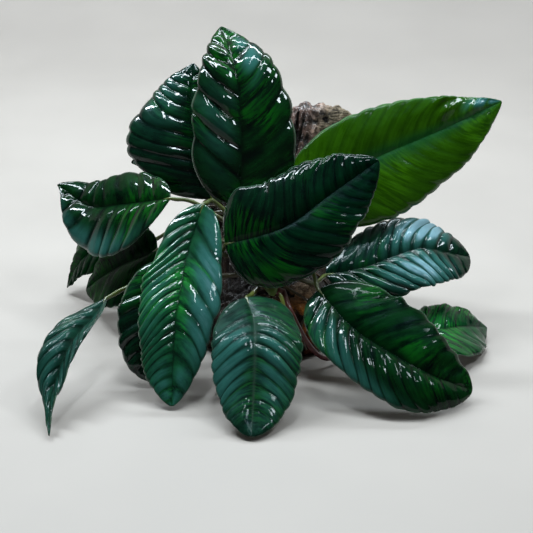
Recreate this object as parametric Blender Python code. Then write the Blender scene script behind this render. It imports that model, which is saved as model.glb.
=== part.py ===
"""Coffeefolia anubias growing on a piece of driftwood.

A short rhizome creeps over the top of the wood, from its cut back end to a growing tip at the front. Every leaf is a
corrugated blade on its own stalk, and every stalk leaves the rhizome square to it. The driftwood stands on a face that
was cut flat. All sizes below are millimetres; the origin is the middle of the flat face, +Z is up and the leaves that
hang lowest point to -Y.
"""
from math import cos, exp, log, pi, radians, sin

import bmesh
import bpy
import numpy as np
from mathutils import Vector, noise

MM = 0.001

# Blades
BLADE_THICKNESS = 1.2
VEIN_SWEEP = 0.2
CREST_HEIGHT = 1.5
COLUMNS_PER_HALF = 3

# Stalks, rhizome and roots
STALK_RADIUS = 1.9
STALK_TOP_RADIUS = 1.2
STALK_POINTS = 7
TOP_GAP = 1.6
JOINT_GAP = 0.5
RHIZOME_RADIUS = 6.0
RHIZOME_RINGS = 11
ROOT_RADIUS = 1.1
ROOT_TIP_RADIUS = 0.55
ROOT_POINTS = 9
ROOT_GAP = 1.5
SHEATH_POINTS = 6

# Driftwood
WOOD_CENTRE = (6, 4, 40)
WOOD_REACH = 170.0
WOOD_BLEND = 8.0
WOOD_LUMPS = 4.0
WOOD_LUMP_SPACING = 26.0
WOOD_DETAIL_KEPT = 0.062
BASE_BLOCK = 300.0

# The rhizome's middle line, from the growing tip to the cut back end.
RHIZOME_LINE = [(8, -80, 56), (5, -66, 62), (0, -46, 68), (-2, -26, 74), (2, -4, 80), (6, 18, 86)]

# Each leaf: the midrib from the stalk to the tip and the direction across the blade at both ends. The pairs that
# follow hold for the near (-) and the far (+) half: its greatest half width, where along the midrib it is widest,
# how many degrees it rises from the midrib (fold) and falls at the margin (droop), and the shape of its tip and of
# its base, where below 0.5 is blunt and above 1 is drawn out. swell lists where a half is fuller or slimmer than that:
# the half (0 near, 1 far), how far along the midrib, how far this reaches, and the share of the width it adds.
LEAVES = {
    "top": dict(
        midrib=[(-16, -10, 93), (-14, 4, 125), (-16, 24, 162), (-20, 40, 184), (-30, 74, 203)],
        across=[(1, 0, 0), (1, 0.1, 0)], veins=9,
        half_widths=(37, 40), widest=(0.34, 0.32), fold=(22, 22), droop=(-22, -22), tip=(0.8, 0.8),
        base=(0.42, 0.42),
        swell=[(1, 0.8, 0.12, 0.1)]),
    "centre": dict(
        midrib=[(-25, -54, 82), (15, -62, 98), (47, -49, 117), (80, -32, 135)],
        across=[(0.45, -0.6, -0.65), (0.45, -0.5, -0.7)], veins=9,
        half_widths=(36, 39), widest=(0.36, 0.34), fold=(20, 20), droop=(-22, -22), tip=(0.62, 0.75),
        base=(0.36, 0.42)),
    "upper_right": dict(
        midrib=[(20, -8, 97), (74, 8, 120), (129, 24, 139), (174, 36, 157)],
        across=[(0.4, -0.4, -0.8), (0.4, -0.4, -0.8)], veins=9,
        half_widths=(36, 44), widest=(0.38, 0.38), fold=(16, 16), droop=(-14, -14), tip=(0.85, 0.85),
        base=(0.45, 0.45)),
    "upper_left": dict(
        midrib=[(-36, 10, 91), (-46, 24, 116), (-52, 44, 146), (-51, 72, 176)],
        across=[(1, 0, 0), (1, 0, 0)], veins=8,
        half_widths=(52, 38), widest=(0.48, 0.42), fold=(18, 18), droop=(-30, -30), tip=(1.0, 1.0),
        base=(0.85, 0.6),
        swell=[(0, 0.74, 0.13, -0.2), (0, 0.28, 0.1, -0.08)]),
    "back_left": dict(
        midrib=[(-18, 50, 104), (-44, 62, 110), (-72, 66, 106), (-100, 66, 100)],
        across=[(0, 0.6, 0.8), (0.1, 0.7, 0.7)], veins=6,
        half_widths=(18, 26), widest=(0.42, 0.42), fold=(18, 18), droop=(-20, -20), tip=(0.9, 0.9),
        base=(0.5, 0.5)),
    "left": dict(
        midrib=[(-64, -20, 103), (-102, 2, 90), (-127, 18, 83), (-153, 38, 92)],
        across=[(0.1, 0.7, 0.6), (0.1, 0.7, 0.6)], veins=8,
        half_widths=(41, 27), widest=(0.42, 0.45), fold=(18, 18), droop=(-20, -20), tip=(1.5, 0.7),
        base=(0.6, 0.5)),
    "left_lower": dict(
        midrib=[(-74, -25, 66), (-100, -8, 48), (-120, 5, 31), (-132, 12, 18)],
        across=[(0.1, 0.7, 0.6), (0.1, 0.7, 0.6)], veins=7,
        half_widths=(34, 28), widest=(0.45, 0.45), fold=(18, 18), droop=(-20, -20), tip=(0.7, 0.7),
        base=(0.5, 0.5)),
    "left_back": dict(
        midrib=[(-84, 27, 50), (-112, 38, 48), (-138, 44, 30), (-152, 44, 5)],
        across=[(0.1, 0.7, 0.6), (0.1, 0.7, 0.6)], veins=6,
        half_widths=(24, 26), widest=(0.42, 0.42), fold=(18, 18), droop=(-20, -20), tip=(0.9, 0.9),
        base=(0.5, 0.5)),
    "front_left": dict(
        midrib=[(-40, -38, 106), (-50, -62, 81), (-54, -84, 62), (-57, -100, 47), (-58, -122, 22), (-58, -137, 3)],
        across=[(-1, 0, 0), (-1, 0, 0)], veins=9,
        half_widths=(28, 31), widest=(0.45, 0.5), fold=(20, 20), droop=(-22, -22), tip=(0.8, 0.85),
        base=(0.42, 0.42),
        swell=[(1, 0.28, 0.13, -0.22)]),
    "front_under": dict(
        midrib=[(-57, -60, 72), (-68, -82, 46), (-74, -98, 22), (-73, -106, 4)],
        across=[(-1, 0, 0), (-1, 0, 0)], veins=6,
        half_widths=(26, 28), widest=(0.42, 0.42), fold=(18, 18), droop=(-20, -20), tip=(0.6, 0.6),
        base=(0.5, 0.5)),
    "low_left": dict(
        midrib=[(-106, -70, 49), (-113, -90, 44), (-122, -108, 39), (-128, -124, 32), (-132, -138, 22),
                (-134, -153, 14), (-132, -174, 3)],
        across=[(-0.85, 0.2, 0.3), (-0.85, 0.2, 0.3)], veins=8,
        half_widths=(11, 17), widest=(0.45, 0.45), fold=(60, 20), droop=(40, -20), tip=(1.1, 1.4),
        base=(0.5, 0.75),
        swell=[(0, 0.88, 0.1, -0.5), (1, 0.84, 0.13, -0.6)]),
    "low_centre": dict(
        midrib=[(-10, -88, 58), (-5, -108, 51), (-4, -130, 42), (-5, -152, 18), (-6, -175, 3)],
        across=[(-1, 0, 0), (-1, 0, 0)], veins=8,
        half_widths=(31, 29), widest=(0.42, 0.42), fold=(18, 18), droop=(-24, -24), tip=(0.7, 0.7),
        base=(0.38, 0.38)),
    "low_right": dict(
        midrib=[(38, -80, 60), (59, -107, 46), (82, -121, 35), (107, -130, 24), (138, -127, 9)],
        across=[(-0.6, -0.5, -0.4), (-0.4, -0.6, -0.4)], veins=9,
        half_widths=(41, 32), widest=(0.42, 0.45), fold=(18, 18), droop=(-24, -24), tip=(0.66, 0.6),
        base=(0.32, 0.4),
        swell=[(1, 0.35, 0.2, -0.08), (1, 0.72, 0.15, 0.1)]),
    "right": dict(
        midrib=[(45, -38, 52), (75, -32, 56), (97, -25, 62), (117, -18, 64), (151, -8, 53)],
        across=[(0.2, -0.8, -0.5), (0.2, -0.8, -0.5)], veins=8,
        half_widths=(32, 33), widest=(0.5, 0.55), fold=(18, 18), droop=(-20, -20), tip=(0.55, 0.5),
        base=(0.5, 0.5)),
    "right_lower": dict(
        midrib=[(77, -60, 15), (118, -60, 20), (145, -46, 16), (163, -30, 7)],
        across=[(-0.2, -0.85, -0.15), (-0.2, -0.85, -0.15)], veins=7,
        half_widths=(26, 30), widest=(0.5, 0.5), fold=(14, 14), droop=(-14, -14), tip=(0.95, 0.9),
        base=(0.5, 0.5)),
}

# Each stalk: how far along the rhizome it starts, the way it leaves, and the points that it passes.
STALKS = {
    "top": (0.62, (-0.3, 0, 1), [(-12, -19, 87)]),
    "centre": (0.32, (-0.6, 0, 0.7), [(-12, -47, 71), (-27, -50, 73)]),
    "upper_right": (0.68, (0.6, 0, 0.8), [(12, -13, 92)]),
    "upper_left": (0.80, (-0.7, 0, 0.7), [(-20, 6, 91)]),
    "back_left": (0.95, (-0.3, 0, 1), [(0, 26, 102), (-8, 40, 106)]),
    "left": (0.54, (-0.7, 0, 0.7), [(-26, -25, 88), (-48, -22, 101)]),
    "left_lower": (0.40, (-0.9, 0, 0.4), [(-28, -34, 76), (-52, -31, 75)]),
    "left_back": (0.74, (-0.9, 0, 0.4), [(-30, 2, 84), (-60, 16, 68)]),
    "front_left": (0.46, (-0.6, 0, 0.8), [(-18, -31, 90), (-33, -29, 104)]),
    "front_under": (0.28, (-0.8, 0, 0.5), [(-24, -54, 74), (-44, -54, 79)]),
    "low_left": (0.21, (-0.9, 0, 0.15), [(-28, -62, 62), (-60, -60, 59), (-88, -64, 56)]),
    "low_centre": (0.11, (-0.9, 0, -0.4), [(-7, -80, 56)]),
    "low_right": (0.36, (0.7, 0, 0.7), [(18, -47, 78), (32, -64, 74)]),
    "right": (0.15, (0.9, 0, 0.3), [(24, -67, 63), (36, -58, 55)]),
    "right_lower": (0.05, (0.7, -0.3, -0.5), [(20, -86, 46), (32, -86, 22), (44, -82, 9), (60, -72, 9)]),
}

# Rounded masses that make up the driftwood: centre and half sizes.
WOOD_MASSES = [
    ((0, 0, 12), (60, 70, 38)),
    ((14, -42, 24), (38, 30, 30)),
    ((6, 10, 46), (46, 46, 34)),
    ((-26, 40, 50), (26, 25, 36)),
    ((36, 42, 84), (23, 22, 44)),
    ((31, 46, 126), (13, 15, 27)),
    ((55, 48, 122), (14, 13, 25)),
    ((43, 49, 128), (10, 11, 22)),
    ((30, -57, 40), (13, 15, 15)),
]

# Roots that cling to the wood: how far along the rhizome each starts, and the bearings from the middle of the wood
# (degrees from +X towards +Y, degrees above level) that it follows.
ROOTS = {
    "root_front": (0.12, [(-70, 4), (-75, -10), (-71, -22)]),
    "root_right": (0.45, [(-68, 28), (-50, 12), (-36, -8), (-30, -24)]),
    "root_left": (0.55, [(208, 38), (196, 16), (204, -4), (198, -22)]),
    "root_back": (0.90, [(152, 38), (154, 22), (146, 4), (150, -16)]),
}

# Short pieces beside the growing tip: the points of the line and the radius at both ends.
SHEATH = ([(12.5, -81, 57), (15, -85, 51), (16, -87, 41)], 1.5, 0.4)
CUT_STALK = (0.24, (1, 0, 0.5), 14, 2.2)


def clear_scene():
    for item in list(bpy.data.objects):
        bpy.data.objects.remove(item, do_unlink=True)


def make_material(name, colour, roughness):
    material = bpy.data.materials.new(name)
    material.use_nodes = True
    shader = material.node_tree.nodes["Principled BSDF"]
    shader.inputs["Base Color"].default_value = (*colour, 1)
    shader.inputs["Roughness"].default_value = roughness
    shader.inputs["Metallic"].default_value = 0
    return material


def add_object(name, data, material):
    item = bpy.data.objects.new(name, data)
    bpy.context.scene.collection.objects.link(item)
    item.data.materials.append(material)
    return item


def add_cutter(name, mesh, material):
    """A solid that only cuts another one."""
    item = add_object(name, mesh, material)
    item.hide_render = True
    item.display_type = "WIRE"
    return item


def box_mesh(name, middle, size):
    mesh = bpy.data.meshes.new(name)
    box = bmesh.new()
    bmesh.ops.create_cube(box, size=size * MM)
    bmesh.ops.translate(box, verts=box.verts, vec=Vector(middle) * MM)
    box.to_mesh(mesh)
    box.free()
    return mesh


def smooth_line(points, count):
    """A rounded line through the points, as count points evenly spaced along it."""
    ends = [Vector(p) for p in points]
    ends = [2 * ends[0] - ends[1]] + ends + [2 * ends[-1] - ends[-2]]
    steps = 16
    fine = []
    for a, b, c, d in zip(ends, ends[1:], ends[2:], ends[3:]):
        for i in range(steps):
            t = i / steps
            fine.append(
                0.5 * (2 * b + (c - a) * t + (2 * a - 5 * b + 4 * c - d) * t**2 + (3 * b - a - 3 * c + d) * t**3)
            )
    fine.append(ends[-2])
    travelled = [0.0]
    for p, q in zip(fine, fine[1:]):
        travelled.append(travelled[-1] + (q - p).length)
    line = []
    j = 0
    for i in range(count):
        target = travelled[-1] * i / (count - 1)
        while j < len(fine) - 2 and travelled[j + 1] < target:
            j += 1
        share = (target - travelled[j]) / (travelled[j + 1] - travelled[j])
        line.append(fine[j].lerp(fine[j + 1], min(1.0, share)))
    return line


def on_line(line, share):
    """The point and the direction at a share of the way along a line of points."""
    at = share * (len(line) - 1)
    i = min(int(at), len(line) - 2)
    direction = (line[min(i + 2, len(line) - 1)] - line[max(i - 1, 0)]).normalized()
    return line[i].lerp(line[i + 1], at - i), direction


def half_width(share, widest, tip, base):
    """The blade's half width as a share of its greatest, zero at both ends."""
    peak = base / (base + tip)
    x = share ** (log(peak) / log(widest))
    return (x / peak) ** base * ((1 - x) / (1 - peak)) ** tip


def blade_point(leaf, midrib, along, aside):
    """A point on the blade. along follows the side veins from base to tip, and aside runs from -1 to 1."""
    distance = abs(aside)
    side = 0 if aside < 0 else 1
    sweep = VEIN_SWEEP * min(1, along / 0.15) ** 0.8 * min(1, (1 - along) / 0.45)
    share = min(1.0, along + sweep * distance**1.3)
    middle, ahead = on_line(midrib, share)
    across = Vector(leaf["across"][0]).normalized().lerp(Vector(leaf["across"][1]).normalized(), share)
    across = (across - across.dot(ahead) * ahead).normalized()
    up = across.cross(ahead)
    width = half_width(share, leaf["widest"][side], leaf["tip"][side], leaf["base"][side])
    width *= leaf["half_widths"][side]
    for half, middle_share, reach, amount in leaf.get("swell", []):
        if half == side:
            width *= 1 + amount * exp(-((share - middle_share) / reach) ** 2)
    rise = radians(leaf["fold"][side])
    fall = radians(leaf["droop"][side])
    slope = rise + (fall - rise) * distance
    out = width * (sin(slope) - sin(rise)) / (fall - rise)
    lift = -width * (cos(slope) - cos(rise)) / (fall - rise)
    crest = CREST_HEIGHT * (abs(sin(pi * leaf["veins"] * along)) - 0.5)
    crest *= min(1, 4 * distance) * min(1, 8 * along, 8 * (1 - along))
    return middle + across * (out if side else -out) + up * (lift + crest)


def make_leaf(name, leaf, material):
    """A blade whose rows lie alternately in a vein and on the crest between two veins."""
    midrib = smooth_line(leaf["midrib"], 60)
    rows = 2 * leaf["veins"]
    mesh = bpy.data.meshes.new("leaf_" + name)
    sheet = bmesh.new()
    bmesh.ops.create_grid(sheet, x_segments=2 * COLUMNS_PER_HALF, y_segments=rows, size=1)
    for vertex in sheet.verts:
        aside, along = vertex.co.x, (vertex.co.y + 1) / 2
        vertex.co = blade_point(leaf, midrib, along, aside) * MM
    bmesh.ops.remove_doubles(sheet, verts=sheet.verts, dist=0.01 * MM)
    sheet.to_mesh(mesh)
    sheet.free()
    mesh.shade_smooth()
    item = add_object("leaf_" + name, mesh, material)
    wall = item.modifiers.new("Blade", "SOLIDIFY")
    wall.thickness = BLADE_THICKNESS * MM
    wall.offset = 0
    return item


def make_tube(name, line, radii, sides, material):
    """A round solid along a line of points, with its own radius at each point."""
    curve = bpy.data.curves.new(name, "CURVE")
    curve.dimensions = "3D"
    curve.bevel_depth = MM
    curve.bevel_resolution = (sides - 4) // 2
    curve.use_fill_caps = True
    spline = curve.splines.new("POLY")
    spline.points.add(len(line) - 1)
    for point, place, radius in zip(spline.points, line, radii):
        point.co = (*(place * MM), 1)
        point.radius = radius
    spline.use_smooth = True
    return add_object(name, curve, material)


def taper(first, last, count):
    """Evenly changing radii for the points of a line."""
    return [first + (last - first) * i / (count - 1) for i in range(count)]


def make_rhizome(material):
    """A creeping stem, ringed where old leaves stood, that narrows to its growing tip."""
    line = smooth_line(RHIZOME_LINE, 2 * RHIZOME_RINGS + 1)
    radii = []
    for i in range(len(line)):
        ring = 1.0 if i % 2 else 0.9
        tip = min(1.0, 0.35 + 0.22 * i)
        radii.append(RHIZOME_RADIUS * ring * tip)
    return make_tube("rhizome", line, radii, 8, material)


def make_stalk(name, material):
    """A leaf's stalk, from the rhizome's skin to just short of the blade."""
    start, leaving, passes = STALKS[name]
    rhizome = smooth_line(RHIZOME_LINE, 60)
    centre, ahead = on_line(rhizome, start)
    leaving = Vector(leaving)
    leaving = (leaving - leaving.dot(ahead) * ahead).normalized()
    foot = centre + leaving * (RHIZOME_RADIUS + JOINT_GAP)
    top = Vector(LEAVES[name]["midrib"][0])
    arrival = (top - Vector(passes[-1])).normalized()
    end = top - arrival * TOP_GAP
    line = [foot, *smooth_line([foot + leaving * 3, *passes, end - arrival * 3], STALK_POINTS - 2), end]
    return make_tube("stalk_" + name, line, taper(STALK_RADIUS, STALK_TOP_RADIUS, len(line)), 6, material)


def make_sheath(material):
    """The thin pointed sheath that the newest leaf left at the growing tip."""
    points, thick, thin = SHEATH
    line = smooth_line(points, SHEATH_POINTS)
    return make_tube("sheath", line, taper(thick, thin, SHEATH_POINTS), 6, material)


def make_cut_stalk(material):
    """The stub of a stalk that was cut off."""
    start, leaving, length, radius = CUT_STALK
    centre, ahead = on_line(smooth_line(RHIZOME_LINE, 60), start)
    leaving = Vector(leaving)
    leaving = (leaving - leaving.dot(ahead) * ahead).normalized()
    foot = centre + leaving * (RHIZOME_RADIUS + JOINT_GAP)
    line = [foot + leaving * length * i / 3 for i in range(4)]
    return make_tube("cut_stalk", line, [radius] * 4, 8, material)


def wood_depth(points):
    """For each point, below zero inside the driftwood and above zero outside it."""
    total = np.zeros(len(points))
    for centre, sizes in WOOD_MASSES:
        distance = np.linalg.norm((points - np.array(centre)) / np.array(sizes), axis=1)
        total += np.exp(-WOOD_BLEND * (distance - 1))
    return -np.log(total) / WOOD_BLEND


def wood_outward(place):
    """The direction away from the wood at a place on its skin."""
    step = 0.5
    offsets = [Vector((step, 0, 0)), Vector((0, step, 0)), Vector((0, 0, step))]
    ahead = wood_depth(np.array([place + offset for offset in offsets]))
    behind = wood_depth(np.array([place - offset for offset in offsets]))
    return Vector(ahead - behind).normalized()


def wood_skin(directions):
    """Where rays from the middle of the wood leave it for the last time, with its lumps."""
    centre = np.array(WOOD_CENTRE)
    directions = np.array(directions)
    far = np.full(len(directions), WOOD_REACH)
    step = 2.0
    for _ in range(int(WOOD_REACH / step) - 1):
        outside = wood_depth(centre + directions * far[:, None]) > 0
        far[outside] -= step
    near = far.copy()
    far = far + step
    for _ in range(6):
        middle = (near + far) / 2
        outside = wood_depth(centre + directions * middle[:, None]) > 0
        far[outside] = middle[outside]
        near[~outside] = middle[~outside]
    skin = []
    for direction, reach in zip(directions, near):
        direction = Vector(direction)
        place = Vector(WOOD_CENTRE) + direction * reach
        skin.append(place + direction * noise.fractal(place / WOOD_LUMP_SPACING, 1.0, 2.0, 3) * WOOD_LUMPS)
    return skin


def make_root(name, material):
    """A root that leaves the rhizome sideways and follows the wood down."""
    start, bearings = ROOTS[name]
    centre, ahead = on_line(smooth_line(RHIZOME_LINE, 60), start)
    directions = []
    for around, above in bearings:
        level = cos(radians(above))
        directions.append(Vector((cos(radians(around)) * level, sin(radians(around)) * level, sin(radians(above)))))
    directions = [direction.normalized() for direction in smooth_line(directions, ROOT_POINTS)]
    clinging = [place + wood_outward(place) * (ROOT_RADIUS + ROOT_GAP) for place in wood_skin(directions)]
    leaving = clinging[0] - centre
    leaving = (leaving - leaving.dot(ahead) * ahead).normalized()
    foot = centre + leaving * (RHIZOME_RADIUS + JOINT_GAP)
    line = [foot, foot + leaving * 2, *clinging]
    return make_tube(name, line, taper(ROOT_RADIUS, ROOT_TIP_RADIUS, len(line)), 6, material)


def make_driftwood(material):
    """A knobbly stump with two worn horns, cut flat below and grooved where the rhizome lies."""
    mesh = bpy.data.meshes.new("driftwood")
    lump = bmesh.new()
    bmesh.ops.create_icosphere(lump, subdivisions=6, radius=1)
    for vertex, place in zip(lump.verts, wood_skin([vertex.co.normalized() for vertex in lump.verts])):
        vertex.co = place * MM
    lump.to_mesh(mesh)
    lump.free()
    mesh.shade_smooth()
    item = add_object("driftwood", mesh, material)
    plain = item.modifiers.new("Plainer", "DECIMATE")
    plain.ratio = WOOD_DETAIL_KEPT
    base = add_cutter("base", box_mesh("base", (0, 0, -BASE_BLOCK / 2), BASE_BLOCK), material)
    cut = item.modifiers.new("Base", "BOOLEAN")
    cut.operation = "DIFFERENCE"
    cut.object = base
    line = smooth_line(RHIZOME_LINE, 12)
    line = [line[0] + (line[0] - line[1]), *line, line[-1] + (line[-1] - line[-2])]
    shape = make_tube("groove_shape", line, [RHIZOME_RADIUS + 2 * JOINT_GAP] * len(line), 10, material)
    groove = add_cutter("groove", bpy.data.meshes.new_from_object(shape), material)
    bpy.data.objects.remove(shape, do_unlink=True)
    cut = item.modifiers.new("Groove", "BOOLEAN")
    cut.operation = "DIFFERENCE"
    cut.object = groove
    return item


def main():
    clear_scene()
    leaf_green = make_material("leaf_green", (0.012, 0.06, 0.022), 0.22)
    leaf_bright = make_material("leaf_bright", (0.03, 0.13, 0.005), 0.25)
    stalk_green = make_material("stalk_green", (0.09, 0.12, 0.02), 0.4)
    stalk_red = make_material("stalk_red", (0.14, 0.02, 0.03), 0.4)
    rhizome_brown = make_material("rhizome_brown", (0.07, 0.04, 0.02), 0.5)
    wood_brown = make_material("wood_brown", (0.09, 0.04, 0.022), 0.6)
    for name, leaf in LEAVES.items():
        make_leaf(name, leaf, leaf_bright if name == "upper_right" else leaf_green)
        make_stalk(name, stalk_red if name == "right_lower" else stalk_green)
    for name in ROOTS:
        make_root(name, rhizome_brown)
    make_sheath(stalk_green)
    make_cut_stalk(stalk_green)
    make_rhizome(rhizome_brown)
    make_driftwood(wood_brown)


main()
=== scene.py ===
"""Coffeefolia anubias on a piece of driftwood, as it looks.

The plant's solids are loaded first and keep their places. Every blade, stalk, root, the rhizome and the
driftwood is then made again in fine detail over its solid. Lines and half widths below are millimetres;
Blender works in metres. The origin is the middle of the driftwood's flat underside, +Z is up and the
lowest leaves hang to -Y.
"""
from math import cos, exp, log, pi, radians, sin

import bmesh
import bpy
import numpy as np
from bpy.props import FloatProperty, FloatVectorProperty, IntProperty, PointerProperty
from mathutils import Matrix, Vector, noise


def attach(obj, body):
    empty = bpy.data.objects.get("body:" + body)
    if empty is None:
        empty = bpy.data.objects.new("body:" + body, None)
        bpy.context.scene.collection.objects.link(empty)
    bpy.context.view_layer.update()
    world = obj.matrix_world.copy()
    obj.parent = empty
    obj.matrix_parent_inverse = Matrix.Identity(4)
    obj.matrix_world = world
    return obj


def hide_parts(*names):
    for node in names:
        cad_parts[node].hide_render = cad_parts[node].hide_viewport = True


bl_info = {
    "name": "Coffeefolia anubias",
    "version": (1, 0, 0),
    "blender": (4, 5, 0),
    "location": "View3D > Sidebar > Anubias",
    "description": "Makes an aquarium plant with corrugated leaves on a piece of driftwood",
    "category": "Object",
}

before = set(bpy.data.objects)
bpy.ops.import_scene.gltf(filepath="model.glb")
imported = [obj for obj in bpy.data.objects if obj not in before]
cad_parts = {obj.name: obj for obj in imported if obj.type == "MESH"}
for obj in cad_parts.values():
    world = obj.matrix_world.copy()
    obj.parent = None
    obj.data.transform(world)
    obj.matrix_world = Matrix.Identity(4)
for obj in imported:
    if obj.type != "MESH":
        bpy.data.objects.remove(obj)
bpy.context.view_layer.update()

MM = 0.001

# The radii of the rhizome and of a root, and the gap between a root and the wood
RHIZOME_RADIUS = 6.0
ROOT_RADIUS = 1.1
ROOT_GAP = 0.6

# Points on a line: the rhizome's, where things leave it, a midrib's, a stalk's, and a root's on the wood
RHIZOME_POINTS = 60
MIDRIB_POINTS = 120
STALK_POINTS = 48
CLINGING_POINTS = 50

# Rows of faces along the rhizome, a midrib's back, the sheath, the cut stalk and a root
RHIZOME_ROWS = 120
MIDRIB_ROWS = 40
SHEATH_ROWS = 19
CUT_STALK_ROWS = 12
ROOT_ROWS = 69

# Driftwood: the point that its skin is measured from and how far the skin can be from it, how sharply its
# masses meet, how high its lumps are and how far apart, and the longest edge of a face
WOOD_CENTRE = (6, 4, 40)
WOOD_REACH = 170.0
WOOD_BLEND = 8.0
WOOD_LUMPS = 4.0
WOOD_LUMP_SPACING = 26.0
WOOD_FACE = 1.8

# The heights at which the wood's horn starts to be knobby and is so in full (metres)
KNOBBY_HEIGHTS = (0.095, 0.115)

# The rhizome's middle line, from the growing tip to the cut back end
RHIZOME_LINE = [(8, -80, 56), (5, -66, 62), (0, -46, 68), (-2, -26, 74), (2, -4, 80), (6, 18, 86)]

# Each leaf has its midrib from the stalk to the tip, the direction across the blade at both ends, its number
# of side veins, and the name of its colours (look). Pairs hold for its near (-) and its far (+) half:
#   half_widths, widest: its greatest half width, and where along the midrib that is
#   fold, droop: how many degrees it rises from the midrib, and falls at the margin
#   tip, base: how pointed its outline is there
#   relief, ridge: how strongly it is corrugated, and how narrow its crests are
#   pitch: how many of the side veins it has, as a share of their number
# sweep is how far towards the tip a side vein runs (share of the midrib), calm where the corrugation starts
# to fade, ruffle how strongly the margin waves, and scallop how deep its notches are (share of the width).
# swell and rough list where a half is fuller or slimmer, and rougher or smoother: the half (0 near, 1 far),
# how far along, how far this reaches, and the share that it adds.
# dents, film_and_sheen and gloss list patches: how far along and aside, how far each reaches along and aside,
# and how much it adds to the height (millimetres), to the dull film with its painted sheen (where it is
# highest, a painted pale highlight), and to the wet gloss.
USUAL_LEAF = dict(
    widest=(0.42, 0.42), fold=(18, 18), droop=(-20, -20), base=(0.5, 0.5), pitch=(1, 1), ridge=(0.75, 0.75),
    sweep=0.2, calm=1.0, ruffle=1.0, scallop=0.04, swell=[], rough=[], dents=[], film_and_sheen=[], gloss=[])
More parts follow.
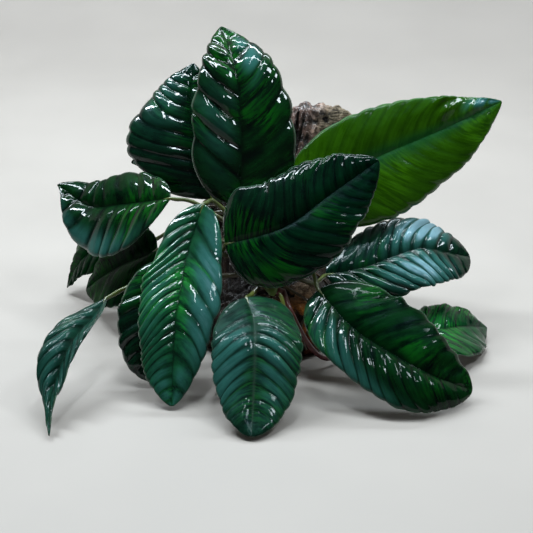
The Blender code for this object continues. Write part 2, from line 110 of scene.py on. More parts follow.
LEAVES = {
    "top": dict(
        USUAL_LEAF, look="bottle", veins=13, across=[(1, 0, 0), (1, 0.1, 0)],
        midrib=[(-16, -10, 93), (-14, 4, 125), (-16, 24, 162), (-20, 40, 184), (-30, 74, 203)],
        half_widths=(37, 40), widest=(0.34, 0.32), fold=(22, 22), droop=(-22, -22), tip=(0.8, 0.8),
        base=(0.42, 0.42), relief=(1.6, 0.35), pitch=(0.55, 0.6), ridge=(0.9, 1.0), scallop=0.06,
        swell=[(1, 0.8, 0.12, 0.1)],
        rough=[(0, 0.1, 0.15, -0.6), (0, 1.0, 0.14, -0.8), (1, 0.72, 0.16, 2.2)],
        film_and_sheen=[(0.6, -0.12, 0.3, 0.15, 0.3), (0.3, -0.5, 0.25, 0.5, 0.4), (0.72, 0.45, 0.15, 0.35, 1.1)],
        gloss=[(0.97, 0, 0.13, 1.5, -0.8)]),
    "centre": dict(
        USUAL_LEAF, look="deep", veins=14, across=[(0.45, -0.6, -0.65), (0.45, -0.5, -0.7)],
        midrib=[(-25, -54, 82), (15, -62, 98), (47, -49, 117), (80, -32, 135)],
        half_widths=(36, 39), widest=(0.36, 0.34), fold=(20, 20), droop=(-22, -22), tip=(0.62, 0.75),
        base=(0.36, 0.42), relief=(0.2, 0.15),
        swell=[(0, 0.1, 0.1, 0.25)],
        rough=[(1, 0.35, 0.2, 0.5)],
        gloss=[(0.5, 0.05, 1.0, 0.3, -0.9), (0.9, 0.2, 0.3, 1.2, -0.85), (0.5, -0.9, 0.4, 0.3, -0.4),
               (0.5, 0.6, 0.5, 0.5, -0.6)]),
    "upper_right": dict(
        USUAL_LEAF, look="young", veins=14, across=[(0.4, -0.4, -0.8), (0.4, -0.4, -0.8)],
        midrib=[(20, -8, 97), (74, 8, 120), (129, 24, 139), (174, 36, 157)],
        half_widths=(36, 44), widest=(0.38, 0.38), fold=(16, 16), droop=(-14, -14), tip=(0.85, 0.85),
        base=(0.45, 0.45), relief=(0.1, 0.12), scallop=0.03,
        dents=[(0.72, -0.5, 0.045, 0.25, 3.0), (0.87, -0.4, 0.04, 0.3, 2.6), (0.62, -0.9, 0.05, 0.2, 1.8)],
        film_and_sheen=[(0.92, -0.6, 0.1, 0.4, 1.5)],
        gloss=[(0.6, 0.2, 0.9, 0.45, -0.97), (0.2, -0.8, 0.35, 0.5, -0.85), (0.55, -0.9, 0.15, 0.4, -0.7)]),
    "upper_left": dict(
        USUAL_LEAF, look="teal", veins=11, across=[(1, 0, 0), (1, 0, 0)],
        midrib=[(-36, 10, 91), (-46, 24, 116), (-52, 44, 146), (-51, 72, 176)],
        half_widths=(52, 38), widest=(0.48, 0.42), droop=(-30, -30), tip=(1.0, 1.0), base=(0.85, 0.6),
        relief=(1.0, 0.7),
        swell=[(0, 0.74, 0.13, -0.2), (0, 0.28, 0.1, -0.08)],
        rough=[(0, 0.15, 0.15, -0.6)],
        film_and_sheen=[(0.7, -0.6, 0.3, 0.4, 0.45)]),
    "back_left": dict(
        USUAL_LEAF, look="bottle", veins=8, across=[(0, 0.6, 0.8), (0.1, 0.7, 0.7)],
        midrib=[(-18, 50, 104), (-44, 62, 110), (-72, 66, 106), (-100, 66, 100)],
        half_widths=(18, 26), tip=(0.9, 0.9), relief=(0.7, 0.7)),
    "left": dict(
        USUAL_LEAF, look="bottle", veins=10, across=[(0.1, 0.7, 0.6), (0.1, 0.7, 0.6)],
        midrib=[(-64, -20, 103), (-102, 2, 90), (-127, 18, 83), (-153, 38, 92)],
        half_widths=(41, 27), widest=(0.42, 0.45), tip=(1.5, 0.7), base=(0.6, 0.5), relief=(0.7, 0.7),
        pitch=(0.9, 0.7), sweep=0.08,
        film_and_sheen=[(0.5, -0.85, 0.35, 0.3, 0.9)],
        gloss=[(0.55, 0.65, 0.45, 0.6, -0.88), (0.4, -0.1, 0.5, 0.25, -0.8)]),
    "left_lower": dict(
        USUAL_LEAF, look="shaded", veins=10, across=[(0.1, 0.7, 0.6), (0.1, 0.7, 0.6)],
        midrib=[(-74, -25, 66), (-100, -8, 48), (-120, 5, 31), (-132, 12, 18)],
        half_widths=(34, 28), widest=(0.45, 0.45), tip=(0.7, 0.7), relief=(0.08, 0.08),
        gloss=[(0.5, 0, 1.0, 2.0, -0.75)]),
    "left_back": dict(
        USUAL_LEAF, look="shaded", veins=8, across=[(0.1, 0.7, 0.6), (0.1, 0.7, 0.6)],
        midrib=[(-84, 27, 50), (-112, 38, 48), (-138, 44, 30), (-152, 44, 5)],
        half_widths=(24, 26), tip=(0.9, 0.9), relief=(0.7, 0.7)),
    "front_left": dict(
        USUAL_LEAF, look="fresh", veins=13, across=[(-1, 0, 0), (-1, 0, 0)],
        midrib=[(-40, -38, 106), (-50, -62, 81), (-54, -84, 62), (-57, -100, 47), (-58, -122, 22),
                (-58, -137, 3)],
        half_widths=(28, 31), widest=(0.45, 0.5), fold=(20, 20), droop=(-22, -22), tip=(0.72, 0.72),
        base=(0.42, 0.42), relief=(0.7, 1.0), pitch=(0.6, 1.5), scallop=0.05, calm=0.68,
        swell=[(1, 0.28, 0.13, -0.22), (1, 0.62, 0.16, -0.2)],
        rough=[(0, 0.2, 0.18, -0.6)],
        film_and_sheen=[(0.2, -0.7, 0.25, 0.5, 1.15), (0.55, -0.7, 0.2, 0.45, 0.9), (0.35, 0.6, 0.3, 0.5, 0.6),
              (0.92, 0, 0.17, 1.2, 0.8)]),
    "front_under": dict(
        USUAL_LEAF, look="teal", veins=8, across=[(-1, 0, 0), (-1, 0, 0)],
        midrib=[(-57, -60, 72), (-68, -82, 46), (-74, -98, 22), (-73, -106, 4)],
        half_widths=(26, 28), tip=(0.6, 0.6), relief=(0.8, 0.8)),
    "low_left": dict(
        USUAL_LEAF, look="old", veins=10, across=[(-0.85, 0.2, 0.3), (-0.85, 0.2, 0.3)],
        midrib=[(-106, -70, 49), (-113, -90, 44), (-122, -108, 39), (-128, -124, 32), (-132, -138, 22),
                (-134, -153, 14), (-132, -174, 3)],
        half_widths=(11, 17), widest=(0.45, 0.45), fold=(60, 20), droop=(40, -20), tip=(1.1, 1.4),
        base=(0.5, 0.75), relief=(0.3, 0.5), ruffle=2.5,
        swell=[(0, 0.88, 0.1, -0.5), (1, 0.84, 0.13, -0.6)],
        film_and_sheen=[(0.5, 0, 0.6, 1.2, 0.5)],
        gloss=[(0.5, 0, 0.6, 1.5, -0.8)]),
    "low_centre": dict(
        USUAL_LEAF, look="old", veins=12, across=[(-1, 0, 0), (-1, 0, 0)],
        midrib=[(-10, -88, 58), (-5, -108, 51), (-4, -130, 42), (-5, -152, 18), (-6, -175, 3)],
        half_widths=(31, 29), droop=(-24, -24), tip=(0.6, 0.6), base=(0.38, 0.38), relief=(0.35, 0.2),
        calm=0.8,
        rough=[(0, 0.42, 0.16, 1.4), (0, 0.05, 0.12, -0.7), (1, 0.05, 0.12, -0.7)],
        film_and_sheen=[(0.45, 0.6, 0.25, 0.6, 1.1), (0.5, -0.4, 0.25, 0.5, 0.9)],
        gloss=[(0.1, 0, 0.25, 1.5, -0.95), (0.92, 0, 0.17, 1.5, -0.97), (0.4, 0.5, 0.2, 0.5, -0.5)]),
    "low_right": dict(
        USUAL_LEAF, look="bottle", veins=14, across=[(-0.6, -0.5, -0.4), (-0.4, -0.6, -0.4)],
        midrib=[(38, -80, 60), (59, -107, 46), (82, -121, 35), (107, -130, 24), (138, -127, 9)],
        half_widths=(41, 32), widest=(0.42, 0.45), droop=(-24, -24), tip=(0.66, 0.6), base=(0.32, 0.4),
        relief=(0.5, 0.95), pitch=(0.5, 0.95), ridge=(1.8, 0.75),
        swell=[(1, 0.35, 0.2, -0.08), (1, 0.72, 0.15, 0.1)],
        rough=[(1, 0.8, 0.25, -0.6), (1, 0.18, 0.15, 0.9), (0, 0.1, 0.1, -0.5)],
        dents=[(0.8, -0.3, 0.05, 0.25, -2.5)],
        film_and_sheen=[(0.17, 0.55, 0.13, 0.45, 0.7), (0.35, 0.9, 0.2, 0.25, 0.5)],
        gloss=[(0.2, -0.5, 0.3, 0.9, -1.0), (0.45, -0.4, 0.22, 0.5, -0.5), (0.75, 0.5, 0.3, 0.8, -0.6),
               (0.6, -0.5, 0.3, 0.6, -0.3)]),
    "right": dict(
        USUAL_LEAF, look="teal", veins=12, across=[(0.2, -0.8, -0.5), (0.2, -0.8, -0.5)],
        midrib=[(45, -38, 52), (75, -32, 56), (97, -25, 62), (117, -18, 64), (151, -8, 53)],
        half_widths=(32, 33), widest=(0.5, 0.55), tip=(0.55, 0.5), relief=(0.7, 1.2), scallop=0.06,
        rough=[(0, 0.1, 0.2, -0.6), (0, 1.0, 0.15, -0.7), (1, 1.0, 0.2, -0.7)],
        film_and_sheen=[(0.61, -0.6, 0.16, 0.5, 3.2), (0.5, 0.5, 0.25, 0.6, 1.9)],
        gloss=[(0.22, -0.5, 0.28, 0.6, -0.95)]),
    "right_lower": dict(
        USUAL_LEAF, look="fresh", veins=9, across=[(-0.2, -0.85, -0.15), (-0.2, -0.85, -0.15)],
        midrib=[(77, -60, 15), (118, -60, 20), (145, -46, 16), (163, -30, 7)],
        half_widths=(26, 30), widest=(0.5, 0.5), fold=(14, 14), droop=(-14, -14), tip=(0.95, 0.9),
        relief=(0.35, 0.3),
        gloss=[(0.5, 0, 0.6, 1.2, -0.5)]),
}

# The leaf whose young stalk is burgundy, and each stalk: how far along the rhizome it starts, the way it
# leaves, and the points that it passes
YOUNG_STALK = "right_lower"
STALKS = {
    "top": (0.62, (-0.3, 0, 1), [(-12, -19, 87)]),
    "centre": (0.32, (-0.6, 0, 0.7), [(-12, -47, 71), (-27, -50, 73)]),
    "upper_right": (0.68, (0.6, 0, 0.8), [(12, -13, 92)]),
    "upper_left": (0.80, (-0.7, 0, 0.7), [(-20, 6, 91)]),
    "back_left": (0.95, (-0.3, 0, 1), [(0, 26, 102), (-8, 40, 106)]),
    "left": (0.54, (-0.7, 0, 0.7), [(-26, -25, 88), (-48, -22, 101)]),
    "left_lower": (0.40, (-0.9, 0, 0.4), [(-28, -34, 76), (-52, -31, 75)]),
    "left_back": (0.74, (-0.9, 0, 0.4), [(-30, 2, 84), (-60, 16, 68)]),
    "front_left": (0.46, (-0.6, 0, 0.8), [(-18, -31, 90), (-33, -29, 104)]),
    "front_under": (0.28, (-0.8, 0, 0.5), [(-24, -54, 74), (-44, -54, 79)]),
    "low_left": (0.21, (-0.9, 0, 0.15), [(-28, -62, 62), (-60, -60, 59), (-88, -64, 56)]),
    "low_centre": (0.11, (-0.9, 0, -0.4), [(-7, -80, 56)]),
    "low_right": (0.36, (0.7, 0, 0.7), [(18, -47, 78), (32, -64, 74)]),
    "right": (0.15, (0.9, 0, 0.3), [(24, -67, 63), (36, -58, 55)]),
    "right_lower": (0.05, (0.7, -0.3, -0.5), [(20, -86, 46), (32, -86, 22), (44, -82, 9), (60, -72, 9)]),
}

# Rounded masses that make up the driftwood: centre and half sizes
WOOD_MASSES = [
    ((0, 0, 12), (60, 70, 38)),
    ((14, -42, 24), (38, 30, 30)),
    ((6, 10, 46), (46, 46, 34)),
    ((-26, 40, 50), (26, 25, 36)),
    ((36, 42, 84), (23, 22, 44)),
    ((31, 46, 126), (13, 15, 27)),
    ((55, 48, 122), (14, 13, 25)),
    ((43, 49, 128), (10, 11, 22)),
    ((30, -57, 40), (13, 15, 15)),
]

# Colours of the driftwood: the middle of each place, how far it reaches, its colour and how dry it is.
# Some of these colours are painted shade or painted light, as marked.
WOOD_TONES = [
    # The next two are painted shade: near-black where the leaves shade the wood in front
    ((0, -45, 55), 30, "#120a07", 0.0),
    ((37, -42, 50), 14, "#0c0806", 0.0),
    ((31, 46, 135), 24, "#b08a7e", 0.0),
    ((57, 44, 134), 16, "#b8a688", 1.0),
    ((31, -68, 48), 10, "#b09a80", 1.0),
    # Wet orange wood, lightened past its own colour as painted light where the leaves shade it
    ((25, -78, 28), 18, "#e08a34", 0.5),
    ((30, -76, 12), 14, "#a4502a", 0.5),
    ((-40, 60, 70), 20, "#8a745c", 0.8),
    ((30, 78, 30), 26, "#8a5228", 0.5),
    ((-50, -10, 20), 24, "#6a4028", 0.4),
    ((62, 20, 30), 24, "#8a745c", 0.7),
    ((36, 60, 95), 18, "#6a4a34", 0.5),
]

# Roots: how far along the rhizome each starts, and the bearings from the middle of the wood (degrees from
# +X towards +Y, degrees above level) that it follows
ROOTS = {
    "root_front": (0.12, [(-70, 4), (-75, -10), (-71, -22)]),
    "root_right": (0.45, [(-68, 28), (-50, 12), (-36, -8), (-30, -24)]),
    "root_left": (0.55, [(208, 38), (196, 16), (204, -4), (198, -22)]),
    "root_back": (0.90, [(152, 38), (154, 22), (146, 4), (150, -16)]),
}

# Floor: how far it reaches, where its bend behind the plant starts, the radius of the bend, and how steeply
# it rises after that (metres). Its own light starts at the first distance from the middle, is full at the
# second, and goes from the third to the fourth number.
FLOOR_REACH = 14.0
FLOOR_EDGE = 0.7
FLOOR_BEND = 0.9
FLOOR_RISE = 8.0
FLOOR_GLOW = (0.6, 2.2, 0.0, 0.4)

# Camera: its place (metres), its tilt from straight down (degrees), and its lens on a sensor (millimetres)
CAMERA_PLACE = (0.0034, -0.8544, 0.4154)
CAMERA_TILT = 66.4
CAMERA_LENS = 85.58
CAMERA_SENSOR = 36.0

# Lamps: bearing from the back towards the right and height (degrees), width and length (metres), radiance and
# colour. They point at the target from the same distance (metres).
LAMP_TARGET = (0, 0, 0.08)
LAMP_DISTANCE = 1.2
LAMPS = {
    "tube_across": (0, 80, 1.0, 0.055, 70.0, "#eaf7ff"),
    "tube_along": (20, 84, 0.055, 0.7, 70.0, "#eaf7ff"),
    "back_tube": (0, 50, 1.0, 0.06, 70.0, "#eaf7ff"),
    "left_window": (-65, 56, 0.09, 0.5, 125.0, "#eaf7ff"),
    "right_panel": (96, 54, 0.22, 0.2, 50.0, "#eaf7ff"),
    "front_right": (135, 60, 0.1, 0.1, 60.0, "#eaf7ff"),
}

# Short pieces beside the growing tip: the sheath's middle line, and where the cut stalk starts along the
# rhizome, the way it leaves and its length
SHEATH_LINE = [(11.2, -80, 58), (12.5, -81, 57), (15, -85, 51), (16, -87, 41)]
CUT_STALK = (0.24, (1, 0, 0.5), 14)


def linear(code):
    """A hex colour as it is written for the screen, as the linear light that Blender reckons in."""
    shares = [int(code[i:i + 2], 16) / 255 for i in (1, 3, 5)]
    return [share / 12.92 if share <= 0.04045 else ((share + 0.055) / 1.055) ** 2.4 for share in shares]


# Leaf colours: in the veins, on the crests between them, where fresh green comes through, and along the
# midrib. band is how far from the midrib that reaches, tip how much of it the tip takes, shine how strongly
# the wet film shines, and sheen how much the skin under it does.
USUAL_LOOK = dict(band=0.08, tip=0.0, shine=1.0)
LOOKS = {
    "bottle": dict(
        USUAL_LOOK, sheen=0.02,
        in_veins="#010b06", on_crests="#06300f", green="#0b500c", by_midrib="#021007"),
    "deep": dict(
        USUAL_LOOK, sheen=0.02,
        in_veins="#010b08", on_crests="#042815", green="#09460e", by_midrib="#021009"),
    "teal": dict(
        USUAL_LOOK, sheen=0.05,
        in_veins="#010f0a", on_crests="#052d18", green="#0a5212", by_midrib="#03180f"),
    "fresh": dict(
        USUAL_LOOK, sheen=0.06,
        in_veins="#041e12", on_crests="#0f5028", green="#187a22", by_midrib="#021007"),
    # The young blade's bright yellow-green is partly its own colour and partly painted light shining through
    # it
    "young": dict(
        USUAL_LOOK, sheen=0.06, band=0.3, tip=0.15,
        in_veins="#1c3e00", on_crests="#2a5600", green="#326200", by_midrib="#0a4824"),
    "shaded": dict(
        USUAL_LOOK, sheen=0.01, shine=0.2,
        in_veins="#010b06", on_crests="#04260c", green="#073a08", by_midrib="#021007"),
    "old": dict(
        USUAL_LOOK, sheen=0.05, shine=0.8,
        in_veins="#081b14", on_crests="#143a2a", green="#174c22", by_midrib="#33463a"),
}


class BladeSettings(bpy.types.PropertyGroup):
    thickness: FloatProperty(
        name="Thickness", description="Thickness of a blade", default=0.8 * MM, min=0.3 * MM, max=1.2 * MM,
        unit="LENGTH", precision=5)
    crest: FloatProperty(
        name="Crest height", description="How high the blade stands between two side veins",
        default=1.35 * MM, min=0, max=4 * MM, unit="LENGTH", precision=5)
    unevenness: FloatProperty(
        name="Unevenness", description="How far a blade waves out of its even shape", default=1.6 * MM,
        min=0, max=4 * MM, unit="LENGTH", precision=5)
    rows_per_vein: IntProperty(
        name="Rows per vein", description="Rows of faces between two side veins", default=12, min=4, max=24)
    columns: IntProperty(
        name="Columns per half", description="Columns of faces between the midrib and the margin", default=24,
        min=6, max=40)
    underside: FloatVectorProperty(
        name="Underside", description="Colour of a blade's underside", subtype="COLOR",
        default=linear("#2c4626"))
    # Colour of the dull film, which also stands for a painted teal sheen
    dull_and_sheen: FloatVectorProperty(
        name="Dull film", description="Colour of the dull film on the older leaves", subtype="COLOR",
        default=linear("#2c5f58"))
    # Colour where the film is thickest: a painted bluish-white highlight
    pale: FloatVectorProperty(
        name="Pale film", description="Colour of the film where it is thickest", subtype="COLOR",
        default=linear("#86b0bc"))
    margin: FloatVectorProperty(
        name="Margin", description="Colour of a blade's thin edge", subtype="COLOR",
        default=linear("#6b8f76"))


class StemSettings(bpy.types.PropertyGroup):
    stalk_radius: FloatProperty(
        name="Stalk radius", description="Radius of a stalk where it leaves the rhizome", default=2.0 * MM,
        min=1 * MM, max=3 * MM, unit="LENGTH", precision=5)
    stalk_top_radius: FloatProperty(
        name="Stalk top radius", description="Radius of a stalk where it meets its blade", default=1.3 * MM,
        min=0.6 * MM, max=2 * MM, unit="LENGTH", precision=5)
    stalk_green: FloatVectorProperty(
        name="Stalk", description="Colour of a stalk", subtype="COLOR", default=linear("#5c6b28"))
    stalk_red: FloatVectorProperty(
        name="Young stalk", description="Colour of a young stalk", subtype="COLOR", default=linear("#74303a"))
    rhizome_brown: FloatVectorProperty(
        name="Rhizome", description="Colour of the old rhizome", subtype="COLOR", default=linear("#43331f"))
    root_brown: FloatVectorProperty(
        name="Roots", description="Colour of the roots", subtype="COLOR", default=linear("#5a4128"))


class WoodSettings(bpy.types.PropertyGroup):
    grain: FloatProperty(
        name="Grain depth", description="Depth of the worn grain", default=0.9 * MM, min=0, max=3 * MM,
        unit="LENGTH", precision=5)
    knobs: FloatProperty(
        name="Knob height", description="Height of the small knobs", default=3.6 * MM, min=0, max=5 * MM,
        unit="LENGTH", precision=5)
    # Colour of the dark wet wood, also used as painted shade in the hollows and between the knobs
    dark_and_shade: FloatVectorProperty(
        name="Wet hollows", description="Colour of the wet hollows", subtype="COLOR",
        default=linear("#0a0605"))
    plain: FloatVectorProperty(
        name="Wet wood", description="Colour of the wood outside the places with colours of their own",
        subtype="COLOR", default=linear("#3a2517"))


class StageSettings(bpy.types.PropertyGroup):
    brightness: FloatProperty(
        name="Brightness", description="Factor on the radiance of every lamp", default=0.6, min=0, max=10)
    sky: FloatProperty(
        name="Surroundings", description="Brightness of the even light all round", default=0.05, min=0, max=3)
    floor: FloatVectorProperty(
        name="Floor", description="Colour of the floor", subtype="COLOR", default=linear("#b2aaa3"))


# What makes a Map Range node run softly from one end to the other
SOFTLY = {"interpolation_type": "SMOOTHSTEP"}


def add_node(tree, kind, inputs=(), output=None, **settings):
    """Adds a node, sets it up, and links or fills its inputs, in order or by name. Returns one output."""
    node = tree.nodes.new("ShaderNode" + kind)
    for key, value in settings.items():
        setattr(node, key, value)
    in_use = [socket for socket in node.inputs if socket.enabled]
    for place, value in inputs.items() if isinstance(inputs, dict) else enumerate(inputs):
        socket = node.inputs[place] if isinstance(place, str) else in_use[place]
        if isinstance(value, bpy.types.NodeSocket):
            tree.links.new(value, socket)
        elif socket.type == "RGBA":
            socket.default_value = (*value, 1)
        else:
            socket.default_value = value
    return node.outputs[output] if output else next(socket for socket in node.outputs if socket.enabled)


def new_material(name, **sockets):
    """A material, its node tree and its surface shader with values for the sockets named."""
    material = bpy.data.materials.new(name)
    material.use_nodes = True
    tree = material.node_tree
    shader = tree.nodes["Principled BSDF"]
    for socket, value in sockets.items():
        shader.inputs[socket.replace("_", " ")].default_value = value
    return material, tree, shader


def paint_over(tree, colour, layers):
    """Lays colours over a first one. The share of each runs from first to last as its cause goes from low to
    high."""
    for cause, low, high, first, last, paint in layers:
        share = add_node(tree, "MapRange", [cause, low, high, first, last], **SOFTLY)
        colour = add_node(tree, "Mix", [share, colour, paint], data_type="RGBA")
    return colour


def finish_material(tree, shader, colour, roughness, height, depth):
    """Feeds a shader its colour, its roughness and a relief of so many millimetres. roughness lists its
    cause, the cause's low and high, and how rough the surface is at each."""
    tree.links.new(colour, shader.inputs["Base Color"])
    tree.links.new(add_node(tree, "MapRange", roughness, **SOFTLY), shader.inputs["Roughness"])
    relief = add_node(tree, "Bump", {"Height": height, "Distance": depth * MM, "Strength": 1.0})
    tree.links.new(relief, shader.inputs["Normal"])


def blade_pattern(tree):
    """The pattern of a blade: its distance from the midrib, its crests, and streaks along the side veins."""
    phase, aside = [
        add_node(tree, "Attribute", output="Fac", attribute_name=key) for key in ("vein", "aside")]
    distance = add_node(tree, "Math", [aside], operation="ABSOLUTE")
    wave = add_node(tree, "Math", [phase, pi], operation="MULTIPLY")
    wave = add_node(tree, "Math", [wave], operation="SINE")
    crest = add_node(tree, "Math", [wave], operation="ABSOLUTE")
    drawn_out = add_node(tree, "CombineXYZ", [
        add_node(tree, "Math", [phase, 5.0], operation="MULTIPLY"),
        add_node(tree, "Math", [aside, 2.2], operation="MULTIPLY")])
    streaks = add_node(tree, "TexNoise", {"Vector": drawn_out, "Scale": 1.0, "Detail": 4.0, "Roughness": 0.6})
    return distance, crest, streaks


def waxy_blade(name, look, margin, dull_and_sheen, pale):
    """The upper face of a leaf: waxy skin under a film of water, so sharp lights lie over a soft sheen, with
    patches of dull film, painted sheen and painted highlights.
    """
    in_veins, on_crests, green, by_midrib = [
        linear(look[key]) for key in ("in_veins", "on_crests", "green", "by_midrib")]
    material, tree, shader = new_material(
        name, Coat_Roughness=0.03, Coat_IOR=1.5, IOR=1.5,
        Specular_IOR_Level=look["sheen"], Specular_Tint=(0.38, 0.85, 1.0, 1))
    distance, crest, streaks = blade_pattern(tree)
    along, film_and_sheen, gloss = [
        add_node(tree, "Attribute", output="Fac", attribute_name=key) for key in ("along", "film_and_sheen", "gloss")]
    place = add_node(tree, "TexCoord", output="Object")
    wide, patches, waves, skin = [
        add_node(tree, "TexNoise", {
            "Vector": place, "Scale": 1 / (size * MM), "Detail": detail, "Roughness": 0.55})
        for size, detail in ((45, 2.0), (14, 3.0), (5, 2.0), (1.3, 2.0))]
    mottle = add_node(tree, "Math", [streaks, patches], operation="ADD")

    # The dull film and its painted sheen are thinner here and there, in the veins and beside the midrib
    off_veins = add_node(tree, "Math", [distance, 0.5, crest], operation="MULTIPLY_ADD")
    for cause, low, high, thinnest in (
            (mottle, 0.7, 1.2, 0.75), (off_veins, 0.3, 1.1, 0.25), (distance, 0.0, 0.4, 0.35)):
        share = add_node(tree, "MapRange", [cause, low, high, thinnest, 1.0], **SOFTLY)
        film_and_sheen = add_node(tree, "Math", [film_and_sheen, share], operation="MULTIPLY")

    # Dark veins, greener crests and streaks of fresh green, then the midrib, the dull film with its painted
    # sheen, a painted pale highlight where that is thickest, and the pale edge painted as rim light
    share = add_node(tree, "MapRange", [crest, 0.05, 0.9, 0.0, 0.3], **SOFTLY)
    share = add_node(tree, "Math", [streaks, 1.2, share], operation="MULTIPLY_ADD")
    share = add_node(tree, "Math", [patches, 0.9, share], operation="MULTIPLY_ADD")
    in_streaks = add_node(tree, "MapRange", [streaks, 0.42, 0.62, 0.0, 1.0], **SOFTLY)
    colour = paint_over(tree, in_veins, [
        (share, 0.8, 1.8, 0.0, 1.0, on_crests),
        (wide, 0.48, 0.66, 0.0, in_streaks, green),
        (distance, 0.0, look["band"], 0.6, 0.0, by_midrib),
        (along, 0.7, 1.0, 0.0, look["tip"], by_midrib),
        (film_and_sheen, 0.0, 1.0, 0.0, 1.0, dull_and_sheen),
        (film_and_sheen, 0.9, 2.0, 0.0, 1.0, pale),
        # A pale band along the edge: painted rim light on the thin margin
        (distance, 0.975, 1.0, 0.0, 0.35, margin)])

    # The film of water is weaker over the dull film and its painted sheen, and smoother than the skin
    bare, filmed = 0.75 * look["shine"], 0.4 * look["shine"]
    wetness = add_node(tree, "MapRange", [film_and_sheen, 0.0, 1.0, bare, filmed], **SOFTLY)
    wetness = add_node(tree, "Math", [gloss, wetness], operation="MULTIPLY")
    tree.links.new(wetness, shader.inputs["Coat Weight"])
    furrows = add_node(tree, "Math", [streaks, 0.3], operation="MULTIPLY")
    ripples = add_node(tree, "Math", [waves, 0.8, furrows], operation="MULTIPLY_ADD")
    height = add_node(tree, "Math", [skin, 0.15, ripples], operation="MULTIPLY_ADD")
    finish_material(tree, shader, colour, [mottle, 0.8, 1.25, 0.26, 0.38], height, 0.26)
    wet = add_node(tree, "Bump", {"Height": ripples, "Distance": 0.15 * MM, "Strength": 1.0})
    tree.links.new(wet, shader.inputs["Coat Normal"])
    return material


def dull_underside(name, colour, margin):
    """The underside of a leaf: paler and duller than the upper face, with lighter veins."""
    material, tree, shader = new_material(name, IOR=1.45)
    distance, crest, streaks = blade_pattern(tree)
    place = add_node(tree, "TexCoord", output="Object")
    patches = add_node(tree, "TexNoise", {
        "Vector": place, "Scale": 1 / (24 * MM), "Detail": 3.0, "Roughness": 0.55})
    share = add_node(tree, "Math", [patches, 0.9, -0.45], operation="MULTIPLY_ADD")
    share = add_node(tree, "Math", [streaks, 0.9, share], operation="MULTIPLY_ADD")
    shade = paint_over(tree, [value * 0.5 for value in colour], [
        (share, 0.1, 0.9, 0.0, 1.0, colour),
        (crest, 0.02, 0.2, 0.5, 0.0, margin),
        (distance, 0.955, 1.0, 0.0, 0.5, margin)])
    finish_material(tree, shader, shade, [patches, 0.3, 0.7, 0.42, 0.6], streaks, 0.25)
    return material


def thin_margin(name, colour):
    """The cut-thin edge of a leaf, which lets light through and looks pale."""
    material, tree, shader = new_material(name, IOR=1.45)
    place = add_node(tree, "TexCoord", output="Object")
    patches = add_node(tree, "TexNoise", {
        "Vector": place, "Scale": 1 / (9 * MM), "Detail": 3.0, "Roughness": 0.55})
    shade = paint_over(tree, [value * 0.35 for value in colour], [(patches, 0.35, 0.65, 0.0, 1.0, colour)])
    finish_material(tree, shader, shade, [patches, 0.3, 0.7, 0.3, 0.5], patches, 0.1)
    return material


def fleshy_stalk(name, colour, tint):
    """A stalk: smooth wet skin with faint lengthwise streaks, tinted towards its foot."""
    material, tree, shader = new_material(name, IOR=1.45, Coat_Weight=0.4, Coat_Roughness=0.1)
    along, around = [
        add_node(tree, "Attribute", output="Fac", attribute_name=key) for key in ("along", "around")]
    drawn_out = add_node(tree, "CombineXYZ", [
        add_node(tree, "Math", [around, 14.0], operation="MULTIPLY"),
        add_node(tree, "Math", [along, 5.0], operation="MULTIPLY")])
    streaks = add_node(tree, "TexNoise", {"Vector": drawn_out, "Scale": 1.0, "Detail": 3.0})
    place = add_node(tree, "TexCoord", output="Object")
    patches = add_node(tree, "TexNoise", {
        "Vector": place, "Scale": 1 / (12 * MM), "Detail": 3.0, "Roughness": 0.55})
    share = add_node(tree, "Math", [patches, 0.8, -0.3], operation="MULTIPLY_ADD")
    share = add_node(tree, "Math", [streaks, 0.7, share], operation="MULTIPLY_ADD")
    shade = paint_over(tree, tint, [
        (along, 0.0, 0.5, 0.0, 1.0, colour),
        (share, 0.15, 0.85, 0.55, 0.0, linear("#191d12"))])
    finish_material(tree, shader, shade, [streaks, 0.3, 0.7, 0.3, 0.45], streaks, 0.2)
    return material


def scarred_rhizome(name, colour, bud):
    """The rhizome: green at its growing tip, then bark brown with olive patches, scarred in rings."""
    material, tree, shader = new_material(name, IOR=1.45, Coat_Weight=0.3, Coat_Roughness=0.15)
    along = add_node(tree, "Attribute", output="Fac", attribute_name="along")
    place = add_node(tree, "TexCoord", output="Object")
    patches, wide = [
        add_node(tree, "TexNoise", {
            "Vector": place, "Scale": 1 / (size * MM), "Detail": detail, "Roughness": 0.55})
        for size, detail in ((5, 5.0), (16, 3.0))]
    age = add_node(tree, "Math", [patches, 0.1, along], operation="MULTIPLY_ADD")
    shade = paint_over(tree, [value * 0.3 for value in colour], [
        (patches, 0.35, 0.65, 0.0, 1.0, colour),
        (wide, 0.5, 0.7, 0.0, 0.5, linear("#3f4524")),
        (age, 0.1, 0.24, 1.0, 0.0, bud)])
    finish_material(tree, shader, shade, [patches, 0.3, 0.7, 0.35, 0.65], patches, 0.8)
    return material


